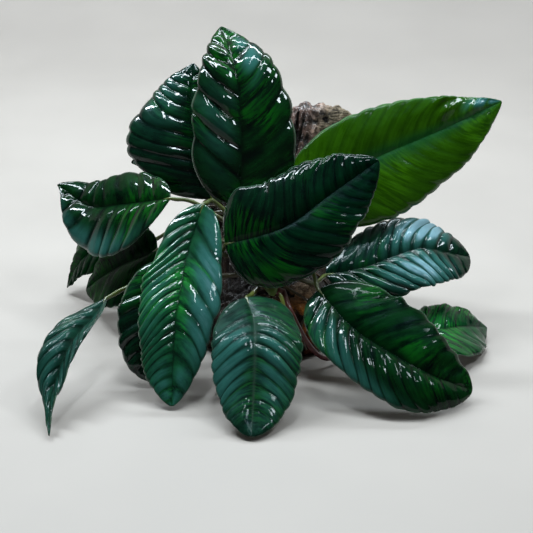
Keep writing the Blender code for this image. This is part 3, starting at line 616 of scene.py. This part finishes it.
def worn_driftwood(name, dark_and_shade):
    """Bog wood: worn grain and knobs, dark wet wood with painted shade in its hollows and between its knobs,
    and each place's colour and dryness.
    """
    material, tree, shader = new_material(name, IOR=1.5, Specular_IOR_Level=0.25, Coat_Roughness=0.1)
    relief = add_node(tree, "Attribute", output="Fac", attribute_name="relief")
    tone = add_node(tree, "Attribute", output="Color", attribute_name="tone")
    dry = tone.node.outputs["Alpha"]
    place = add_node(tree, "TexCoord", output="Object")

    # Wet wood has upright grain and dry wood level grain, turned a little. Patches and crumbs lie over both.
    upright = add_node(tree, "Mapping", {"Vector": place, "Scale": (1.0, 1.0, 0.2)})
    level = add_node(tree, "Mapping", {
        "Vector": place, "Rotation": (0, radians(24), 0), "Scale": (0.12, 1.0, 1.0)})
    wet_grain, dry_grain, patches, crumbs = [
        add_node(tree, "TexNoise", {
            "Vector": where, "Scale": 1 / (size * MM), "Detail": detail, "Roughness": roughness})
        for where, size, detail, roughness in (
            (upright, 2.2, 5.0, 0.65), (level, 1.1, 4.0, 0.6),
            (place, 14, 4.0, 0.55), (place, 1.6, 3.0, 0.55))]
    grain = add_node(tree, "Mix", [dry, wet_grain, dry_grain])

    # The wet side of the horn is covered with knobs of about 4.5 mm
    high_up = add_node(tree, "SeparateXYZ", [place], output="Z")
    wet_wood = add_node(tree, "MapRange", [dry, 0.8, 0.1, 0.0, 1.0], **SOFTLY)
    knobby = add_node(tree, "MapRange", [high_up, *KNOBBY_HEIGHTS, 0.0, wet_wood], **SOFTLY)
    jostled = add_node(tree, "Mix", [0.006, place, crumbs], data_type="RGBA")
    knobs = add_node(tree, "TexVoronoi", {
        "Vector": jostled, "Scale": 1 / (4.5 * MM), "Smoothness": 0.6}, feature="SMOOTH_F1")
    knobs = add_node(tree, "Math", [knobs, knobby], operation="MULTIPLY")

    # The place's colour on the grain, darker between the grain, and painted shade over the dark wet wood in
    # the hollows and between the knobs
    share = add_node(tree, "Math", [patches, 0.8, -0.5], operation="MULTIPLY_ADD")
    share = add_node(tree, "Math", [grain, 1.1, share], operation="MULTIPLY_ADD")
    shade = paint_over(tree, dark_and_shade, [
        (share, 0.1, 0.8, 0.0, 1.0, tone),
        (relief, 0.42, 0.15, 0.0, 0.95, dark_and_shade),
        (knobs, 0.35, 0.75, 0.0, 0.8, dark_and_shade)])
    depth = add_node(tree, "MapRange", [knobby, 0.0, 1.0, 1.5, 0.4], **SOFTLY)
    height = add_node(tree, "Math", [grain, depth], operation="MULTIPLY")
    height = add_node(tree, "Math", [crumbs, 0.3, height], operation="MULTIPLY_ADD")
    height = add_node(tree, "Math", [height, knobs], operation="SUBTRACT")
    dryness = add_node(tree, "Math", [dry, 0.5, patches], operation="MULTIPLY_ADD")
    finish_material(tree, shader, shade, [dryness, 0.4, 1.0, 0.28, 0.75], height, 1.6)

    # Water lies thick on the knobs and thin elsewhere
    on_knobs = add_node(tree, "Math", [knobby, 0.9], operation="MULTIPLY")
    elsewhere = add_node(tree, "MapRange", [dry, 0.0, 0.8, 0.12, 0.05], **SOFTLY)
    wetness = add_node(tree, "Math", [on_knobs, elsewhere], operation="MAXIMUM")
    tree.links.new(wetness, shader.inputs["Coat Weight"])
    wet = add_node(tree, "Bump", {"Height": height, "Distance": 0.9 * MM, "Strength": 1.0})
    tree.links.new(wet, shader.inputs["Coat Normal"])
    return material


def matt_floor(name, colour):
    """The floor: evenly painted board with a faint mottle, lit from within where the lamps don't reach it."""
    material, tree, shader = new_material(name, IOR=1.45, Emission_Color=(1, 1, 1, 1))
    place = add_node(tree, "TexCoord", output="Object")
    patches = add_node(tree, "TexNoise", {
        "Vector": place, "Scale": 1 / (160 * MM), "Detail": 3.0, "Roughness": 0.55})
    shade = paint_over(tree, [value * 0.94 for value in colour], [(patches, 0.3, 0.7, 0.0, 1.0, colour)])
    level = add_node(tree, "VectorMath", [place, (1, 1, 0)], operation="MULTIPLY")
    away = add_node(tree, "VectorMath", [level], operation="LENGTH")
    glow = add_node(tree, "MapRange", [away, *FLOOR_GLOW], **SOFTLY)
    tree.links.new(glow, shader.inputs["Emission Strength"])
    finish_material(tree, shader, shade, [patches, 0.3, 0.7, 0.5, 0.62], patches, 0.02)
    return material


def add_piece(name, shape, materials, node):
    """Turns a finished bmesh into a piece of the plant that stands for one of its solids."""
    mesh = bpy.data.meshes.new(name)
    shape.to_mesh(mesh)
    shape.free()
    mesh.shade_smooth()
    piece = bpy.data.objects.new(name, mesh)
    bpy.context.scene.collection.objects.link(piece)
    for material in materials:
        mesh.materials.append(material)
    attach(piece, "root")
    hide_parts(node)
    return piece


def bearing_to(bearing, height):
    """The direction at a bearing from +Y towards +X and so far above level, both in radians."""
    return Vector((sin(bearing) * cos(height), cos(bearing) * cos(height), sin(height)))


def smooth_line(points, count):
    """A rounded line through the points, as count points evenly spaced along it."""
    ends = [Vector(p) for p in points]
    ends = [2 * ends[0] - ends[1]] + ends + [2 * ends[-1] - ends[-2]]
    steps = 16
    fine = []
    for a, b, c, d in zip(ends, ends[1:], ends[2:], ends[3:]):
        for i in range(steps):
            t = i / steps
            square = 2 * a - 5 * b + 4 * c - d
            cube = 3 * b - a - 3 * c + d
            fine.append(0.5 * (2 * b + (c - a) * t + square * t**2 + cube * t**3))
    fine.append(ends[-2])
    travelled = [0.0]
    for p, q in zip(fine, fine[1:]):
        travelled.append(travelled[-1] + (q - p).length)
    line = []
    j = 0
    for i in range(count):
        target = travelled[-1] * i / (count - 1)
        while j < len(fine) - 2 and travelled[j + 1] < target:
            j += 1
        share = (target - travelled[j]) / (travelled[j + 1] - travelled[j])
        line.append(fine[j].lerp(fine[j + 1], min(1.0, share)))
    return line


def on_line(line, share):
    """The point and the direction at a share of the way along a line of points."""
    at = share * (len(line) - 1)
    i = min(int(at), len(line) - 2)
    direction = (line[min(i + 2, len(line) - 1)] - line[max(i - 1, 0)]).normalized()
    return line[i].lerp(line[i + 1], at - i), direction


def half_width(share, widest, tip, base):
    """The blade's half width as a share of its greatest, zero at both ends."""
    peak = base / (base + tip)
    x = share ** (log(peak) / log(widest))
    return (x / peak) ** base * ((1 - x) / (1 - peak)) ** tip


def blade_frame(leaf, midrib, share):
    """The midrib's point and the directions across and up from the blade there."""
    middle, ahead = on_line(midrib, share)
    across = Vector(leaf["across"][0]).normalized().lerp(Vector(leaf["across"][1]).normalized(), share)
    across = (across - across.dot(ahead) * ahead).normalized()
    return middle, across, across.cross(ahead)


def blade_point(leaf, midrib, along, aside, crest_height, unevenness, seed):
    """A point on the blade. along follows the side veins from base to tip, and aside runs from -1 to 1."""
    distance = abs(aside)
    side = 0 if aside < 0 else 1
    sweep = leaf["sweep"] * min(1, along / 0.15) ** 0.8 * min(1, (1 - along) / 0.45)
    share = min(1.0, along + sweep * distance**1.3)
    middle, across, up = blade_frame(leaf, midrib, share)

    # The half as an even arc that rises at the midrib and falls at the margin
    width = half_width(share, leaf["widest"][side], leaf["tip"][side], leaf["base"][side])
    width *= leaf["half_widths"][side] * from_places(leaf["swell"], side, share)
    rise = radians(leaf["fold"][side])
    fall = radians(leaf["droop"][side])
    slope = rise + (fall - rise) * distance
    out = width * (sin(slope) - sin(rise)) / (fall - rise)
    lift = -width * (cos(slope) - cos(rise)) / (fall - rise)

    # The crests between the side veins: uneven, lower at the midrib, the margin and past the calm place
    phase = vein_phase(leaf, along, aside, seed)
    band = int(phase + 1)
    hump = abs(sin(pi * phase)) ** leaf["ridge"][side]
    strength = 1 + 1.2 * noise.noise(Vector((band * 1.7 + 0.5, 3.3 * side + 0.5, seed)))
    strength *= 1 + 1.1 * noise.noise(Vector((along * 4, aside * 2.0, seed + 20)))
    ripple = 0.035 * sin(6 * pi * phase + 4 * noise.noise(Vector((along * 5, aside * 3, seed + 3))))
    ends = min(1, 8 * along, 8 * (1 - along))
    start = 1 - max(0.0, 1 - distance / 0.25) ** 2
    calm = leaf["calm"]
    fade = 1.0 if along < calm else 1 - 0.8 * min(1, (along - calm) / 0.12)
    relief = leaf["relief"][side] * from_places(leaf["rough"], side, along)
    crest = crest_height * relief * ((hump - 0.5) * max(0.2, strength) + ripple) * start * ends * fade
    crest *= 1 - 0.5 * max(0, distance - 0.7) / 0.3
    crest += from_patches(leaf["dents"], along, aside)

    # The slow waves, the groove along the midrib, the rolled margin with its ruffles, and the notches in it
    ruffle = unevenness * leaf["ruffle"] * noise.noise(Vector((along * 9, 3.0 * side, seed + 11)))
    slow = unevenness * noise.noise(Vector((along * 3.1, aside * 1.4, seed + 7))) * min(1, 3 * distance)
    channel = -0.45 * exp(-(distance * width / 2.2) ** 2) - 0.6 * max(0.0, (distance - 0.93) / 0.07) ** 2
    lobe = noise.noise(Vector((along * 8, 5.0 * side, seed + 13)))
    notch = 1 - leaf["scallop"] * (0.8 - hump - 1.3 * lobe) * distance**3 * ends
    place = middle + across * (out * notch if side else -out * notch)
    return place + up * (lift + crest + (1.5 * ruffle * distance**4 + slow + channel) * ends)


def from_places(places, side, along):
    """The factor that a list of places makes in one half of a blade, at a share of the way along."""
    factor = 1.0
    for half, middle, reach, amount in places:
        if half == side:
            factor *= 1 + amount * exp(-((along - middle) / reach) ** 2)
    return factor


def from_patches(patches, along, aside):
    """What the patches of a blade add up to at a point of it."""
    total = 0.0
    for patch_along, patch_aside, reach_along, reach_aside, amount in patches:
        near = ((along - patch_along) / reach_along) ** 2 + ((aside - patch_aside) / reach_aside) ** 2
        total += amount * exp(-near)
    return total


def vein_phase(leaf, along, aside, seed):
    """How many bands between side veins lie below a point of the blade. The halves are out of step."""
    side = 0 if aside < 0 else 1
    wander = 0.3 * noise.noise(Vector((along * 4, 4.0 * side - 2.0, seed + 5)))
    wander += 0.12 * noise.noise(Vector((along * 9, aside * 2, seed + 9)))
    bands = leaf["veins"] * leaf["pitch"][side]
    return bands * along + (wander + 0.2 * side) * min(1, 6 * along, 6 * (1 - along))


def make_blade(name, leaf, materials, settings, seed):
    """One leaf: a sheet whose rows follow the side veins, quilted between them, given its thickness."""
    midrib = smooth_line(leaf["midrib"], MIDRIB_POINTS)
    shape = bmesh.new()
    bmesh.ops.create_grid(
        shape, x_segments=2 * settings.columns, y_segments=leaf["veins"] * settings.rows_per_vein, size=1)
    vein, side, length, film_and_sheen, gloss = [
        shape.verts.layers.float.new(key) for key in ("vein", "aside", "along", "film_and_sheen", "gloss")]
    for vertex in shape.verts:
        spread = vertex.co.x
        aside = abs(spread) ** 1.35 * (1 if spread > 0 else -1)
        along = (vertex.co.y + 1) / 2
        vertex[vein] = vein_phase(leaf, along, aside, seed)
        vertex[side] = aside
        vertex[length] = along
        # Where the dull film lies with its painted sheen and painted highlights, patch by patch
        vertex[film_and_sheen] = from_patches(leaf["film_and_sheen"], along, aside)
        vertex[gloss] = max(0.0, 1 + from_patches(leaf["gloss"], along, aside))
        point = blade_point(leaf, midrib, along, aside, settings.crest / MM, settings.unevenness / MM, seed)
        vertex.co = point * MM
    bmesh.ops.remove_doubles(shape, verts=shape.verts, dist=0.01 * MM)
    piece = add_piece("blade_" + name, shape, materials, "leaf_" + name)
    wall = piece.modifiers.new("Blade", "SOLIDIFY")
    wall.thickness = settings.thickness
    wall.offset = 0
    wall.material_offset = 1
    wall.material_offset_rim = 2
    return piece


def make_bar(shape, line, radii, sides):
    """A round bar along a line of points, with a radius at each point and closed where that is nothing."""
    along = shape.verts.layers.float.get("along") or shape.verts.layers.float.new("along")
    around = shape.verts.layers.float.get("around") or shape.verts.layers.float.new("around")
    grid = bmesh.ops.create_grid(shape, x_segments=sides, y_segments=len(line) - 1, size=1)["verts"]
    sideways = Vector((0, 0, 1)).cross(line[1] - line[0])
    if sideways.length < 0.1:
        sideways = Vector((1, 0, 0))
    frames = []
    for i, point in enumerate(line):
        ahead = (line[min(i + 1, len(line) - 1)] - line[max(i - 1, 0)]).normalized()
        sideways = (sideways - sideways.dot(ahead) * ahead).normalized()
        frames.append((point, sideways, ahead.cross(sideways)))
    for vertex in grid:
        turn = (vertex.co.x + 1) * pi
        i = round((vertex.co.y + 1) / 2 * (len(line) - 1))
        point, right, up = frames[i]
        vertex[along] = i / (len(line) - 1)
        vertex[around] = abs(turn / pi - 1)
        vertex.co = (point + (right * cos(turn) + up * sin(turn)) * radii[i]) * MM
    bmesh.ops.remove_doubles(shape, verts=grid, dist=0.01 * MM)
    bmesh.ops.recalc_face_normals(shape, faces=shape.faces)


def rhizome_foot(start, leaving):
    """A point inside the rhizome's skin and the direction square to it in which something leaves there."""
    centre, ahead = on_line(smooth_line(RHIZOME_LINE, RHIZOME_POINTS), start)
    leaving = Vector(leaving)
    leaving = (leaving - leaving.dot(ahead) * ahead).normalized()
    return centre, leaving


def make_stalk(name, leaf, material, settings):
    """A stalk from the rhizome to its blade, and on below the blade as its midrib to the tip."""
    start, leaving, passes = STALKS[name]
    centre, leaving = rhizome_foot(start, leaving)
    skin = centre + leaving * RHIZOME_RADIUS
    top = Vector(leaf["midrib"][0])
    arriving = (top - Vector(passes[-1])).normalized()
    line = smooth_line([skin + leaving * 3, *passes, top - arriving * 3, top], STALK_POINTS)
    line = [centre + leaving * (RHIZOME_RADIUS - 2), skin, *line]

    # Thick at its foot, thinner upwards, with a collar at the rhizome and a swollen joint below the blade
    thick = settings.stalk_radius / MM
    thin = settings.stalk_top_radius / MM
    radii = []
    for i in range(len(line)):
        share = i / (len(line) - 1)
        collar = 0.9 * max(0.0, 1 - share / 0.12) ** 2
        joint = 0.25 * max(0.0, 1 - abs(share - 0.93) / 0.06)
        radii.append(thick + (thin - thick) * share + collar + joint)

    # Below the blade, sunk so that it only shows as the midrib's back
    midrib = smooth_line(leaf["midrib"], MIDRIB_POINTS)
    for i in range(1, MIDRIB_ROWS):
        share = i / MIDRIB_ROWS
        middle, across, up = blade_frame(leaf, midrib, share)
        radius = 0.25 + (thin * 0.85 - 0.25) * (1 - share) ** 0.7
        sunk = (radius + 0.6) * min(1.0, share * 8)
        line.append(middle - up * sunk)
        radii.append(radius)

    line = [line[0] - leaving * 0.5, *line, line[-1] + (line[-1] - line[-2]) * 0.3]
    radii = [0.0, *radii, 0.0]
    shape = bmesh.new()
    make_bar(shape, line, radii, 12)
    return add_piece("petiole_" + name, shape, [material], "stalk_" + name)


def wood_depth(points):
    """For each point, below zero inside the driftwood and above zero outside it."""
    total = np.zeros(len(points))
    for centre, sizes in WOOD_MASSES:
        distance = np.linalg.norm((points - np.array(centre)) / np.array(sizes), axis=1)
        total += np.exp(-WOOD_BLEND * (distance - 1))
    return -np.log(total) / WOOD_BLEND


def wood_outward(place):
    """The direction away from the wood at a place on its skin."""
    step = 0.5
    offsets = [Vector((step, 0, 0)), Vector((0, step, 0)), Vector((0, 0, step))]
    ahead = wood_depth(np.array([place + offset for offset in offsets]))
    behind = wood_depth(np.array([place - offset for offset in offsets]))
    return Vector(ahead - behind).normalized()


def wood_skin(directions):
    """Where rays from the middle of the wood leave it for the last time, with its lumps."""
    centre = np.array(WOOD_CENTRE)
    directions = np.array(directions)
    far = np.full(len(directions), WOOD_REACH)
    step = 2.0
    halvings = 6
    for _ in range(int(WOOD_REACH / step) - 1):
        outside = wood_depth(centre + directions * far[:, None]) > 0
        far[outside] -= step
    near = far.copy()
    far = far + step
    for _ in range(halvings):
        middle = (near + far) / 2
        outside = wood_depth(centre + directions * middle[:, None]) > 0
        far[outside] = middle[outside]
        near[~outside] = middle[~outside]
    skin = []
    for direction, reach in zip(directions, near):
        direction = Vector(direction)
        place = Vector(WOOD_CENTRE) + direction * reach
        lump = noise.fractal(place / WOOD_LUMP_SPACING, 1.0, 2.0, 3)
        skin.append(place + direction * lump * WOOD_LUMPS)
    return skin


def wood_tone(place, plain):
    """The driftwood's colour at a place, with its dryness as the fourth number."""
    tone = Vector((*plain, 0.2))
    for middle, reach, code, dryness in WOOD_TONES:
        share = min(1.0, 2 * exp(-((place - Vector(middle)).length / reach) ** 2))
        tone = tone.lerp(Vector((*linear(code), dryness)), share)
    return tone


class ANUBIAS_OT_blades(bpy.types.Operator):
    """Make the fifteen leaf blades"""
    bl_idname = "anubias.blades"
    bl_label = "Leaf blades"

    def execute(self, context):
        settings = context.scene.anubias_blades
        uppers = {
            name: waxy_blade("waxy_blade_" + name, look, settings.margin, settings.dull_and_sheen, settings.pale)
            for name, look in LOOKS.items()}
        under = dull_underside("dull_underside", settings.underside, settings.margin)
        rim = thin_margin("thin_margin", settings.margin)
        for number, (name, leaf) in enumerate(LEAVES.items()):
            make_blade(name, leaf, [uppers[leaf["look"]], under, rim], settings, 1.7 * number)
        return {"FINISHED"}


class ANUBIAS_OT_stalks(bpy.types.Operator):
    """Make the stalks, the sheath at the growing tip and the stub of a cut stalk"""
    bl_idname = "anubias.stalks"
    bl_label = "Stalks"

    def execute(self, context):
        settings = context.scene.anubias_stems
        green = fleshy_stalk("fleshy_stalk_green", settings.stalk_green, linear("#4a3a1e"))
        red = fleshy_stalk("fleshy_stalk_red", settings.stalk_red, linear("#6a2a20"))
        pale = fleshy_stalk("pale_young_skin", linear("#8f9a3c"), linear("#6f7a2c"))
        for name, leaf in LEAVES.items():
            make_stalk(name, leaf, red if name == YOUNG_STALK else green, settings)

        # The sheath swells over its first rows and then thins to a point
        line = smooth_line(SHEATH_LINE, SHEATH_ROWS + 1)
        radii = [1.6 * min(1, i / 3) * (1 - i / SHEATH_ROWS) ** 0.6 for i in range(SHEATH_ROWS + 1)]
        shape = bmesh.new()
        make_bar(shape, line, radii, 10)
        add_piece("tip_sheath", shape, [pale], "sheath")

        # The stub thins a little and ends flat
        start, leaving, length = CUT_STALK
        centre, leaving = rhizome_foot(start, leaving)
        line = [centre + leaving * (RHIZOME_RADIUS - 1 + length * i / CUT_STALK_ROWS)
                for i in range(CUT_STALK_ROWS + 1)]
        line[-1] = line[-2] + leaving * 0.2
        radii = [0.0, *[2.3 - 0.02 * i for i in range(CUT_STALK_ROWS - 1)], 0.0]
        shape = bmesh.new()
        make_bar(shape, line, radii, 14)
        add_piece("stub", shape, [pale], "cut_stalk")
        return {"FINISHED"}


class ANUBIAS_OT_rhizome(bpy.types.Operator):
    """Make the creeping rhizome with its leaf scars"""
    bl_idname = "anubias.rhizome"
    bl_label = "Rhizome"

    def execute(self, context):
        settings = context.scene.anubias_stems
        line = smooth_line(RHIZOME_LINE, RHIZOME_ROWS + 1)
        radii = []
        for i in range(RHIZOME_ROWS + 1):
            share = i / RHIZOME_ROWS
            ring = 0.94 + 0.08 * abs(sin(pi * 11 * share)) ** 0.5
            bud = min(1.0, 0.2 + 1.0 * (share / 0.16) ** 0.7) if share < 0.16 else 1.0
            radii.append(RHIZOME_RADIUS * ring * bud)
        radii[0] = 0.0
        radii[-1] = 0.0
        line[-1] = line[-2] + (line[-1] - line[-2]) * 0.1
        shape = bmesh.new()
        make_bar(shape, line, radii, 32)
        for vertex in shape.verts:
            rough = noise.fractal(vertex.co / (3.5 * MM), 1.0, 2.0, 3)
            vertex.co += vertex.normal * rough * 0.35 * MM
        material = scarred_rhizome("scarred_rhizome", settings.rhizome_brown, linear("#4f6b22"))
        add_piece("creeping_rhizome", shape, [material], "rhizome")
        return {"FINISHED"}


class ANUBIAS_OT_roots(bpy.types.Operator):
    """Make the roots that cling to the wood"""
    bl_idname = "anubias.roots"
    bl_label = "Roots"

    def execute(self, context):
        settings = context.scene.anubias_stems
        material = fleshy_stalk("root_skin", settings.root_brown, linear("#6a5a34"))
        rhizome = smooth_line(RHIZOME_LINE, RHIZOME_POINTS)
        for number, (name, (start, bearings)) in enumerate(ROOTS.items()):
            directions = [bearing_to(radians(90 - around), radians(above)) for around, above in bearings]
            directions = [direction.normalized() for direction in smooth_line(directions, CLINGING_POINTS)]
            clinging = [
                place + wood_outward(place) * (ROOT_RADIUS + ROOT_GAP) for place in wood_skin(directions)]
            centre, leaving = rhizome_foot(start, clinging[0] - on_line(rhizome, start)[0])
            foot = centre + leaving * (RHIZOME_RADIUS - 1)
            line = smooth_line([foot, foot + leaving * 3, *clinging[::6], clinging[-1]], ROOT_ROWS + 1)
            radii = [0.0]
            for i in range(1, ROOT_ROWS):
                knot = 1 + 0.18 * noise.noise(Vector((i * 0.3, number, 0)))
                radii.append(ROOT_RADIUS * (1 - 0.5 * i / ROOT_ROWS) * knot)
            radii.append(0.0)
            shape = bmesh.new()
            make_bar(shape, line, radii, 10)
            add_piece("clinging_" + name, shape, [material], name)
        return {"FINISHED"}


class ANUBIAS_OT_driftwood(bpy.types.Operator):
    """Make the piece of driftwood"""
    bl_idname = "anubias.driftwood"
    bl_label = "Driftwood"

    def execute(self, context):
        settings = context.scene.anubias_wood
        shape = bmesh.new()
        bmesh.ops.create_icosphere(shape, subdivisions=6, radius=1)
        relief = shape.verts.layers.float.new("relief")
        tone = shape.verts.layers.float_color.new("tone")
        skin = wood_skin([vertex.co.normalized() for vertex in shape.verts])
        for vertex, place in zip(shape.verts, skin):
            vertex.co = place
        for _ in range(3):
            wide = [edge for edge in shape.edges if edge.calc_length() > WOOD_FACE]
            bmesh.ops.subdivide_edges(shape, edges=wide, cuts=1)
            bmesh.ops.triangulate(shape, faces=[face for face in shape.faces if len(face.verts) > 3])
        shape.normal_update()
        outward = [vertex.normal.copy() for vertex in shape.verts]

        # Grain that runs upwards and bends in its own way in every run, small knobs, and deep crevices
        for vertex, direction in zip(shape.verts, outward):
            place = vertex.co.copy()
            bent = place + noise.noise_vector(place / 30) * 6
            grain = noise.fractal(Vector((bent.x / 2.6, bent.y / 2.6, bent.z / 16)), 0.9, 2.0, 3)
            knob = abs(noise.noise(place / 8)) + 0.6 * abs(noise.noise(place / 4 + Vector((9, 0, 0)))) - 0.3
            crevice = -max(0.0, 0.16 - abs(noise.noise(Vector((bent.x / 15, bent.y / 15, bent.z / 34)))))
            height = grain * settings.grain / MM + knob * settings.knobs / MM + 14 * crevice
            # relief is low in the crevices, where the wood's colour gets painted shade
            vertex[relief] = 0.5 + 0.2 * grain + 0.7 * knob + 3 * crevice
            vertex[tone] = wood_tone(place, settings.plain)
            vertex.co = (place + direction * height) * MM

        # Its flat underside
        cut = bmesh.ops.bisect_plane(
            shape, geom=shape.verts[:] + shape.edges[:] + shape.faces[:], plane_co=(0, 0, 0),
            plane_no=(0, 0, -1), clear_outer=True)
        rim = [edge for edge in cut["geom_cut"] if isinstance(edge, bmesh.types.BMEdge)]
        bmesh.ops.contextual_create(shape, geom=rim)
        material = worn_driftwood("worn_driftwood", settings.dark_and_shade)
        add_piece("bog_wood", shape, [material], "driftwood")
        return {"FINISHED"}


def add_lamp(name, bearing, height, width, length, radiance, colour):
    """A soft rectangular light. bearing is in degrees from the back towards the right, height in degrees."""
    away = bearing_to(radians(bearing), radians(height))
    lamp = bpy.data.lights.new(name, "AREA")
    lamp.shape = "RECTANGLE"
    lamp.size = width
    lamp.size_y = length
    lamp.energy = radiance * pi * width * length
    lamp.color = linear(colour)
    item = bpy.data.objects.new(name, lamp)
    bpy.context.scene.collection.objects.link(item)
    item.location = Vector(LAMP_TARGET) + away * LAMP_DISTANCE
    item.rotation_euler = (-away).to_track_quat("-Z", "Y").to_euler()


class ANUBIAS_OT_stage(bpy.types.Operator):
    """Make the floor, the soft lights and the camera"""
    bl_idname = "anubias.stage"
    bl_label = "Floor, lights and camera"

    def execute(self, context):
        settings = context.scene.anubias_stage

        # The floor runs level from the front to its edge behind the plant, bends up and goes on rising
        level_until, bent_by = 0.45, 0.7
        shape = bmesh.new()
        bmesh.ops.create_grid(shape, x_segments=8, y_segments=40, size=1)
        for vertex in shape.verts:
            run = (vertex.co.y + 1) / 2
            bend = min(1.0, max(0.0, (run - level_until) / (bent_by - level_until))) * pi / 2
            back = FLOOR_EDGE + FLOOR_BEND * sin(bend)
            if bend == 0:
                back = -FLOOR_REACH + (FLOOR_REACH + FLOOR_EDGE) * run / level_until
            high = FLOOR_BEND * (1 - cos(bend)) + max(0.0, run - bent_by) * FLOOR_RISE
            vertex.co = (vertex.co.x * FLOOR_REACH, back, high)
        mesh = bpy.data.meshes.new("floor")
        shape.to_mesh(mesh)
        shape.free()
        mesh.shade_smooth()
        mesh.materials.append(matt_floor("matt_floor", settings.floor))
        floor = bpy.data.objects.new("floor", mesh)
        context.scene.collection.objects.link(floor)

        for name, (bearing, height, width, length, radiance, colour) in LAMPS.items():
            add_lamp(name, bearing, height, width, length, radiance * settings.brightness, colour)
        world = bpy.data.worlds.new("surroundings")
        world.use_nodes = True
        ground = world.node_tree.nodes["Background"]
        ground.inputs["Color"].default_value = (*linear("#dfe6ee"), 1)
        ground.inputs["Strength"].default_value = settings.sky
        context.scene.world = world
        context.scene.view_settings.view_transform = "Standard"

        view = bpy.data.cameras.new("camera")
        view.sensor_width = CAMERA_SENSOR
        view.lens = CAMERA_LENS
        camera = bpy.data.objects.new("camera", view)
        context.scene.collection.objects.link(camera)
        camera.location = CAMERA_PLACE
        camera.rotation_euler = (radians(CAMERA_TILT), 0, 0)
        context.scene.camera = camera
        return {"FINISHED"}


class ANUBIAS_PT_panel(bpy.types.Panel):
    """The steps that make the plant"""
    bl_idname = "ANUBIAS_PT_panel"
    bl_label = "Coffeefolia anubias"
    bl_space_type = "VIEW_3D"
    bl_region_type = "UI"
    bl_category = "Anubias"

    def draw(self, context):
        for step in STEPS:
            self.layout.operator(step.bl_idname)
        for name, kind in SETTINGS.items():
            box = self.layout.box()
            for key in kind.__annotations__:
                box.prop(getattr(context.scene, name), key)


SETTINGS = {
    "anubias_blades": BladeSettings,
    "anubias_stems": StemSettings,
    "anubias_wood": WoodSettings,
    "anubias_stage": StageSettings,
}
STEPS = [
    ANUBIAS_OT_blades, ANUBIAS_OT_stalks, ANUBIAS_OT_rhizome, ANUBIAS_OT_roots, ANUBIAS_OT_driftwood,
    ANUBIAS_OT_stage]


def register():
    for kind in [*SETTINGS.values(), *STEPS, ANUBIAS_PT_panel]:
        bpy.utils.register_class(kind)
    for name, kind in SETTINGS.items():
        setattr(bpy.types.Scene, name, PointerProperty(type=kind))


def unregister():
    for name in SETTINGS:
        delattr(bpy.types.Scene, name)
    for kind in reversed([*SETTINGS.values(), *STEPS, ANUBIAS_PT_panel]):
        bpy.utils.unregister_class(kind)


def main():
    register()
    bpy.ops.anubias.stage()
    bpy.ops.anubias.blades()
    bpy.ops.anubias.stalks()
    bpy.ops.anubias.rhizome()
    bpy.ops.anubias.roots()
    bpy.ops.anubias.driftwood()


if __name__ == "__main__":
    main()
